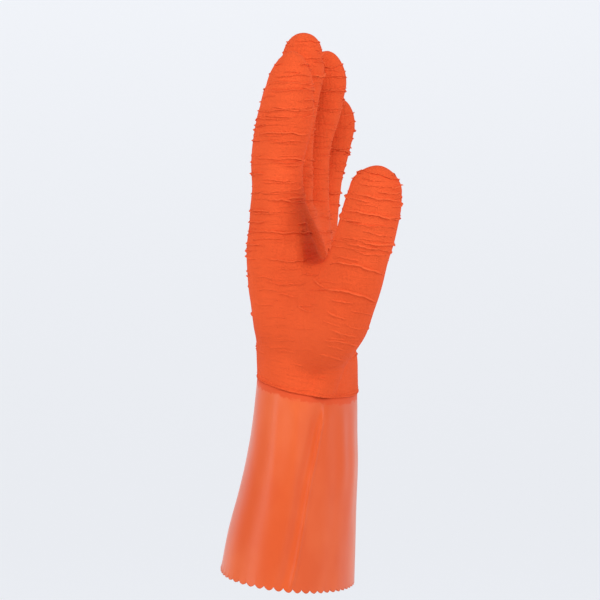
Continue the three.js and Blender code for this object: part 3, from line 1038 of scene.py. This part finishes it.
def cuff_folds(height, turn):
    """How far the cuff stands out or in at heights and turns, in millimetres: a crest with a shallow
    trough on its left, and a few broad soft folds that fade towards their ends."""
    degrees = np.degrees(turn) % 360
    off = degrees - np.interp(height, FOLD_HEIGHTS, FOLD_TURNS)
    crest = CREST_OUT * np.exp(-((off / CREST_WIDE) ** 2))
    trough = TROUGH_IN * np.exp(-(((off + TROUGH_LEFT) / TROUGH_WIDE) ** 2))
    out = np.interp(height, CREST_HEIGHTS, CREST_SHARES) * (crest - trough)
    for middle, drift, wide, size, low, high in SOFT_FOLDS:
        away = (degrees - middle - drift * height / 107 + 180) % 360 - 180
        share = np.clip((height - low) / FOLD_FADE + (low == 0), 0, 1)
        share = share * np.clip((high - height) / FOLD_FADE, 0, 1)
        out = out + size * share * np.exp(-((away / wide) ** 2))
    return out * np.clip((106 - height) / 10, 0, 1)


def cuff_ring(height, turn, inset=0.0):
    """Points of the cuff at heights and turns, shrunk by inset. A ring lies in a plane that turns
    from the hem's to the coat edge's on the way up."""
    heights = CUFF_ROWS[:, 0]
    at = np.interp(height, heights, np.arange(len(heights)))
    size = through(CUFF_ROWS, at)
    c = power(np.cos(turn), 2 / size[:, 5]) * (size[:, 3] - inset)
    d = power(np.sin(turn), 2 / size[:, 5]) * (size[:, 4] - inset)
    x, y = size[:, 1] + c, size[:, 2] + d
    share = height / COAT_EDGE["height"]
    low, high = plane_height(HEM, x, y), plane_height(COAT_EDGE, x, y)
    z = height - share * COAT_EDGE["height"] + low * (1 - share) + high * share
    return np.stack([x, y, z], axis=-1)


def make_cuff(s):
    """The cuff as one closed grid of height and turn: up the outside from the pinked hem, in over the
    shoulder, up the collar inside the coat, and down the inside to the hem again."""
    columns = s.teeth * TOOTH_COLUMNS
    fine = np.linspace(0, 2 * math.pi, RIM_SAMPLES)
    rim = cuff_ring(0 * fine, fine)
    walked = np.concatenate([[0], np.cumsum(np.linalg.norm(np.diff(rim, axis=0), axis=1))])
    turn = np.interp(np.arange(columns) / columns * walked[-1], walked, fine)
    phase = np.arange(columns) / TOOTH_COLUMNS
    depth, wall = s.tooth_depth / MM, s.cuff_wall / MM
    notch = depth - depth * np.abs(np.sin(math.pi * phase)) ** 0.8
    top = COAT_EDGE["height"] - 0.1
    outer = np.concatenate([[0, 0.6, 1.4, 2.4, 3.6, 5.0], np.linspace(7, top, 52)])
    levels = [(h, 0.0) for h in outer]
    levels += [(top, LIP / 2), (top, LIP), (top + COLLAR / 2, LIP), (top + COLLAR, LIP)]
    levels += [(top + COLLAR, LIP + wall), (top - 1, LIP + wall), (top - 4, wall)]
    levels += [(h, wall) for h in outer[::-1][2:]]
    rings = []
    for height, inset in levels:
        level = np.full(columns, float(height))
        folds = cuff_folds(level, turn) if height < top else 0 * turn
        ring = cuff_ring(level, turn, inset - folds)
        ring[:, 2] += notch * math.exp(-height / TOOTH_FADE) if height < TOOTH_REACH else 0
        rings.append(ring)
    points = np.concatenate(rings)
    cuff = new_mesh("cuff_wall", points, [wrapped_quads(len(rings), columns)])
    drop = plane_height(COAT_EDGE, points[:, 0], points[:, 1]) - points[:, 2]
    set_attribute(cuff.data, "below_coat", drop)
    return cuff


# Materials


class Nodes:
    """A material's nodes, made and linked by short calls."""

    def __init__(self, name):
        self.material = bpy.data.materials.new(name)
        self.material.use_nodes = True
        self.tree = self.material.node_tree
        self.shader = self.tree.nodes["Principled BSDF"]

    def add(self, kind, inputs=None, **settings):
        """A node with settings and input values or links."""
        node = self.tree.nodes.new(kind)
        for name, value in settings.items():
            setattr(node, name, value)
        for name, value in (inputs or {}).items():
            self.feed(node.inputs[name], value)
        return node

    def feed(self, socket, value):
        """A link from another node's output, or a plain value."""
        if isinstance(value, bpy.types.NodeSocket):
            self.tree.links.new(value, socket)
        else:
            socket.default_value = value

    def surface(self, inputs):
        """Values or links for the surface itself."""
        for name, value in inputs.items():
            self.feed(self.shader.inputs[name], value)

    def place(self):
        """The place on the object."""
        return self.add("ShaderNodeTexCoord").outputs["Object"]

    def attribute(self, name):
        """A number that the mesh carries for every vertex."""
        return self.add("ShaderNodeAttribute", attribute_name=name).outputs["Fac"]

    def sum(self, operation, *values):
        """Values taken together by an operation."""
        return self.add("ShaderNodeMath", dict(enumerate(values)), operation=operation).outputs[0]

    def noise(self, place, scale, detail, rough, stretch=(1, 1, 1)):
        """Noise over places that are stretched first."""
        place = self.add("ShaderNodeMapping", {"Vector": place, "Scale": stretch}).outputs[0]
        inputs = {"Vector": place, "Scale": scale, "Detail": detail, "Roughness": rough}
        return self.add("ShaderNodeTexNoise", inputs).outputs["Fac"]

    def ramp(self, value, low, high, first=0.0, last=1.0):
        """A value carried from low and high to first and last, and held there."""
        inputs = {"Value": value, "From Min": low, "From Max": high, "To Min": first, "To Max": last}
        return self.add("ShaderNodeMapRange", inputs, clamp=True).outputs["Result"]

    def blend(self, share, first, second):
        """Two colours mixed by a share."""
        return self.add("ShaderNodeMix", {0: share, 6: first, 7: second}, data_type="RGBA").outputs[2]

    def bumps(self, *layers):
        """Bumps on top of one another, each a height, a strength and a distance in metres."""
        below = {}
        for height, strength, distance in layers:
            inputs = {"Height": height, "Strength": strength, "Distance": distance, **below}
            below = {"Normal": self.add("ShaderNodeBump", inputs).outputs[0]}
        self.surface(below)


def opaque(colour):
    """A colour with full cover."""
    return (*colour, 1)


def crinkled_rubber(s):
    """Matte latex set in a crinkle: fine cross wrinkles that follow the crinkle level, fine upright
    lines, a grain, slow shifts of colour, and a painted highlight that lightens the ridges' crests."""
    n = Nodes("crinkled_latex")
    place = n.place()
    parts = n.add("ShaderNodeSeparateXYZ", {"Vector": place}).outputs
    high = n.sum("MULTIPLY", n.attribute("crinkle_level"), MM)
    along = n.add("ShaderNodeCombineXYZ", {"X": parts["X"], "Y": parts["Y"], "Z": high}).outputs[0]
    tone = n.ramp(n.noise(place, 28.0, 3.0, 0.55), 0.3, 0.7)
    base = n.blend(tone, opaque(s.dark_colour), opaque(s.colour))
    n.surface(
        {
            # The ridges' crests are lightened towards the crest colour: a painted highlight
            "Base Color": n.blend(n.attribute("highlit"), base, opaque(s.crest_highlight_colour)),
            "Roughness": 0.82,
            "Specular IOR Level": 0.08,
            "Sheen Weight": 0.015,
            "Sheen Roughness": 0.5,
            "Sheen Tint": (1.0, 0.5, 0.3, 1),
        }
    )
    coarse = n.noise(along, 34.0, 2.0, 0.5, (1, 1, 6))
    wrinkles = n.ramp(n.noise(along, 60.0, 3.0, 0.6, (1, 1, 8)), 0.35, 0.7)
    upright = n.noise(along, 620.0, 2.0, 0.6, (1, 1, 0.1))
    grain = n.noise(place, 1500.0, 2.0, 0.6)
    n.bumps((coarse, 0.4, 0.0012), (wrinkles, 0.55, 0.0006), (upright, 1.0, 0.0005), (grain, 0.9, 0.0004))
    return n.material


def smooth_rubber(s):
    """Smooth semi-gloss latex, with slow waves, faint clouds and slightly uneven gloss. The band just
    under the coat's edge is matte, and ends in a feathered line."""
    n = Nodes("smooth_latex")
    place = n.place()
    ragged = n.sum("MULTIPLY_ADD", n.noise(place, 300.0, 3.0, 0.6), 5.0, 1.4)
    matte = n.ramp(n.sum("SUBTRACT", ragged, n.attribute("below_coat")), -0.4, 0.6)
    gloss = n.ramp(n.noise(place, 60.0, 2.0, 0.5), 0.0, 1.0, 0.34, 0.45)
    cloud = n.ramp(n.noise(place, 22.0, 3.0, 0.6, (1, 1, 0.6)), 0.42, 0.72)
    mottled = n.blend(cloud, opaque(s.colour), opaque(s.cloud_colour))
    n.surface(
        {
            "Base Color": n.blend(matte, mottled, opaque(s.matte_colour)),
            "Roughness": n.add("ShaderNodeMix", {0: matte, 2: gloss, 3: 0.8}).outputs[0],
            "Specular IOR Level": 0.36,
            "Sheen Weight": 0.33,
            "Sheen Roughness": 0.28,
            "Sheen Tint": (1.0, 0.93, 0.92, 1),
        }
    )
    waves, grain = n.noise(place, 35.0, 2.0, 0.5, (1, 1, 0.35)), n.noise(place, 900.0, 3.0, 0.6)
    n.bumps((waves, 0.25, 0.002), (grain, 0.12, 0.0002))
    return n.material


def plain_floor(s):
    """Pale paper, slightly lit from within so that it stays even, and brighter higher up."""
    n = Nodes("pale_paper")
    high = n.add("ShaderNodeSeparateXYZ", {"Vector": n.place()}).outputs["Z"]
    n.surface(
        {
            "Base Color": opaque(c * 0.3 for c in s.paper),
            "Roughness": 0.9,
            "Specular IOR Level": 0.0,
            "Emission Color": opaque(s.paper),
            "Emission Strength": n.ramp(high, -0.25, 0.5, s.paper_glow * 0.965, s.paper_glow * 1.06),
        }
    )
    return n.material


# Settings
COLOUR = {"subtype": "COLOR", "size": 3, "min": 0, "max": 1}
LENGTH = {"subtype": "DISTANCE", "unit": "LENGTH"}


class GloveHandSettings(bpy.types.PropertyGroup):
    colour: FloatVectorProperty(
        name="Colour", description="Colour of the crinkled rubber",
        default=(0.83, 0.105, 0.028), **COLOUR
    )
    dark_colour: FloatVectorProperty(
        name="Second colour", description="Colour of its darker patches",
        default=(0.76, 0.089, 0.023), **COLOUR
    )
    # The crest colour is a painted highlight on the crests of the crinkles' ridges
    crest_highlight_colour: FloatVectorProperty(
        name="Crest colour", description="Colour of the rubbed crests of the crinkles",
        default=(0.95, 0.17, 0.055), **COLOUR
    )
    coat_wall: FloatProperty(
        name="Wall", description="Thickness of liner and rubber",
        default=0.0015, min=0.0005, max=0.003, **LENGTH
    )
    ridge_width: FloatProperty(
        name="Ridge width", description="Half width of a crinkle's foot",
        default=0.00075, min=0.0004, max=0.003, **LENGTH
    )
    seed: IntProperty(
        name="Seed", description="Chooses another strewing of crinkles",
        default=11, min=0
    )
    voxel: FloatProperty(
        name="Mesh step", description="Size of the faces of the skin",
        default=0.00124, min=0.0008, max=0.004, **LENGTH
    )


class GloveCuffSettings(bpy.types.PropertyGroup):
    colour: FloatVectorProperty(
        name="Colour", description="Colour of the smooth rubber",
        default=(0.72, 0.094, 0.015), **COLOUR
    )
    cloud_colour: FloatVectorProperty(
        name="Cloud colour", description="Colour of its paler clouds",
        default=(0.80, 0.14, 0.035), **COLOUR
    )
    matte_colour: FloatVectorProperty(
        name="Band colour", description="Colour of the matte band under the coat's edge",
        default=(0.73, 0.08, 0.016), **COLOUR
    )
    cuff_wall: FloatProperty(
        name="Wall", description="Thickness of the cuff",
        default=0.0012, min=0.0005, max=0.003, **LENGTH
    )
    teeth: IntProperty(
        name="Teeth", description="Teeth of the pinked hem",
        default=51, min=20, max=100
    )
    tooth_depth: FloatProperty(
        name="Tooth depth", description="Depth of a notch of the hem",
        default=0.002, min=0.0, max=0.004, **LENGTH
    )


class GloveStageSettings(bpy.types.PropertyGroup):
    paper: FloatVectorProperty(
        name="Paper", description="Colour of the floor and backdrop",
        default=(0.86, 0.88, 0.92), **COLOUR
    )
    paper_glow: FloatProperty(
        name="Paper glow", description="How much light the backdrop gives of itself",
        default=0.78, min=0, max=2
    )
    room_light: FloatProperty(
        name="Room light", description="Strength of the light from all round",
        default=0.31, min=0, max=3
    )
    key_light: FloatProperty(
        name="Key light", description="Strength of the tall light on the left",
        default=8.1, min=0, max=200
    )
    top_light: FloatProperty(
        name="Top light", description="Strength of the light above the camera",
        default=12.0, min=0, max=200
    )
    fill_light: FloatProperty(
        name="Fill light", description="Strength of the light on the right",
        default=6.0, min=0, max=200
    )
    floor: FloatProperty(
        name="Floor height", description="Height of the floor under the hem",
        default=-0.25, **LENGTH
    )


# Operators


class GLOVE_OT_hand(bpy.types.Operator):
    """Makes the crinkled hand"""

    bl_idname = "glove.hand"
    bl_label = "Hand"

    def execute(self, context):
        s = context.scene.glove_hand
        skin = make_hand_skin(s)
        skin.data.materials.append(crinkled_rubber(s))
        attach(skin, "root")
        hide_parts(*COAT_NODES)
        return {"FINISHED"}


class GLOVE_OT_crinkles(bpy.types.Operator):
    """Makes the crinkles' ridges on the hand and the double line at the coat's edge"""

    bl_idname = "glove.crinkles"
    bl_label = "Crinkles"

    def execute(self, context):
        s = context.scene.glove_hand
        random = np.random.default_rng(s.seed)
        rows = [(name, *row) for name, group in NAMED_RIDGES.items() for row in group]
        rows += strewn_ridges(random)
        fingers = [row for row in rows if row[0] in ("index", "middle", "ring", "little")]
        others = [row for row in rows if row not in fingers]
        pieces = [
            make_ridges("finger_crinkles", ridge_paths(fingers, random), random, s),
            make_ridges("palm_and_thumb_crinkles", ridge_paths(others, random), random, s),
            make_ridges("face_crinkles", face_paths(random), random, s),
            make_edge_bead(),
        ]
        for piece in pieces:
            piece.data.materials.append(bpy.data.materials["crinkled_latex"])
            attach(piece, "root")
        return {"FINISHED"}


class GLOVE_OT_cuff(bpy.types.Operator):
    """Makes the smooth cuff with its pinked hem"""

    bl_idname = "glove.cuff"
    bl_label = "Cuff"

    def execute(self, context):
        s = context.scene.glove_cuff
        cuff = make_cuff(s)
        cuff.data.materials.append(smooth_rubber(s))
        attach(cuff, "root")
        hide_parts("cuff")
        return {"FINISHED"}


def placed(name, data, side, up, forward, spot):
    """An object in the scene at a spot, that looks forward."""
    obj = bpy.data.objects.new(name, data)
    bpy.context.scene.collection.objects.link(obj)
    rows = [[side[i], up[i], -forward[i], spot[i]] for i in range(3)]
    obj.matrix_world = Matrix(rows + [[0, 0, 0, 1]])
    return obj


def place_camera():
    """The camera stands LOOK_FROM behind the point it looks at, turned LOOK_TURN from the x axis."""
    data = bpy.data.cameras.new("camera")
    data.lens, data.sensor_width = LENS, SENSOR
    data.clip_start, data.clip_end = 0.05, 30
    bpy.context.scene.camera = placed("camera", data, RIGHT, UP, FORWARD, SPOT)


def area_light(name, spot, target, width, height, strength):
    """A soft light of a width and height, at a spot, that faces a target."""
    data = bpy.data.lights.new(name, "AREA")
    data.shape, data.size, data.size_y = "RECTANGLE", width, height
    data.energy = strength
    forward = unit(target - spot)
    side = unit(np.cross(forward, UPRIGHT))
    placed(name, data, side, np.cross(side, forward), forward, spot)


def backdrop(base):
    """Points and faces of the backdrop, in metres: flat floor, then a quarter turn of radius one
    metre, then upright."""
    bend = np.linspace(0, math.pi / 2, 16)[1:]
    flat = np.linspace(-3, BEND_FROM, 8)
    run = np.concatenate([[-BACKDROP_HALF], flat, BEND_FROM + np.sin(bend), [BEND_FROM + 1]])
    lift = np.concatenate([np.zeros(len(flat) + 1), 1 - np.cos(bend), [BACKDROP_TOP]])
    wide = np.array([-BACKDROP_HALF, BACKDROP_HALF])
    points = run[:, None, None] * LEVEL + (lift + base)[:, None, None] * UPRIGHT
    points = points + wide[None, :, None] * RIGHT
    i = np.arange(len(run) - 1) * 2
    return points.reshape(-1, 3), [np.stack([i, i + 1, i + 3, i + 2], axis=1)]


class GLOVE_OT_stage(bpy.types.Operator):
    """Makes the floor, the backdrop, the lights and the camera"""

    bl_idname = "glove.stage"
    bl_label = "Stage"

    def execute(self, context):
        s = context.scene.glove_stage
        place_camera()
        points, quads = backdrop(s.floor)
        floor = new_mesh("floor", points / MM, quads)
        floor.data.materials.append(plain_floor(s))
        world = bpy.data.worlds.new("studio")
        context.scene.world = world
        world.use_nodes = True
        room = world.node_tree.nodes["Background"].inputs
        room["Color"].default_value = ROOM_COLOUR
        room["Strength"].default_value = s.room_light
        strengths = {"key": s.key_light, "top": s.top_light, "fill": s.fill_light}
        for name, (ahead, aside, above, aim_above, width, height) in LIGHTS.items():
            spot = AIM + LEVEL * ahead + RIGHT * aside + UPRIGHT * above
            area_light(name, spot, AIM + UPRIGHT * aim_above, width, height, strengths[name])
        context.scene.view_settings.view_transform = "Standard"
        return {"FINISHED"}


class GLOVE_PT_panel(bpy.types.Panel):
    bl_label = "Rubber glove"
    bl_idname = "GLOVE_PT_panel"
    bl_space_type = "VIEW_3D"
    bl_region_type = "UI"
    bl_category = "Glove"

    def draw(self, context):
        scene = context.scene
        for settings, operators in (
            (scene.glove_hand, ("glove.hand", "glove.crinkles")),
            (scene.glove_cuff, ("glove.cuff",)),
            (scene.glove_stage, ("glove.stage",)),
        ):
            box = self.layout.box()
            for name in settings.__annotations__:
                box.prop(settings, name)
            for operator in operators:
                box.operator(operator)


CLASSES = (
    GloveHandSettings,
    GloveCuffSettings,
    GloveStageSettings,
    GLOVE_OT_hand,
    GLOVE_OT_crinkles,
    GLOVE_OT_cuff,
    GLOVE_OT_stage,
    GLOVE_PT_panel,
)


def register():
    for c in CLASSES:
        bpy.utils.register_class(c)
    bpy.types.Scene.glove_hand = PointerProperty(type=GloveHandSettings)
    bpy.types.Scene.glove_cuff = PointerProperty(type=GloveCuffSettings)
    bpy.types.Scene.glove_stage = PointerProperty(type=GloveStageSettings)


def unregister():
    del bpy.types.Scene.glove_stage
    del bpy.types.Scene.glove_cuff
    del bpy.types.Scene.glove_hand
    for c in reversed(CLASSES):
        bpy.utils.unregister_class(c)


def main():
    register()
    bpy.ops.glove.hand()
    bpy.ops.glove.crinkles()
    bpy.ops.glove.cuff()
    bpy.ops.glove.stage()


if __name__ == "__main__":
    main()
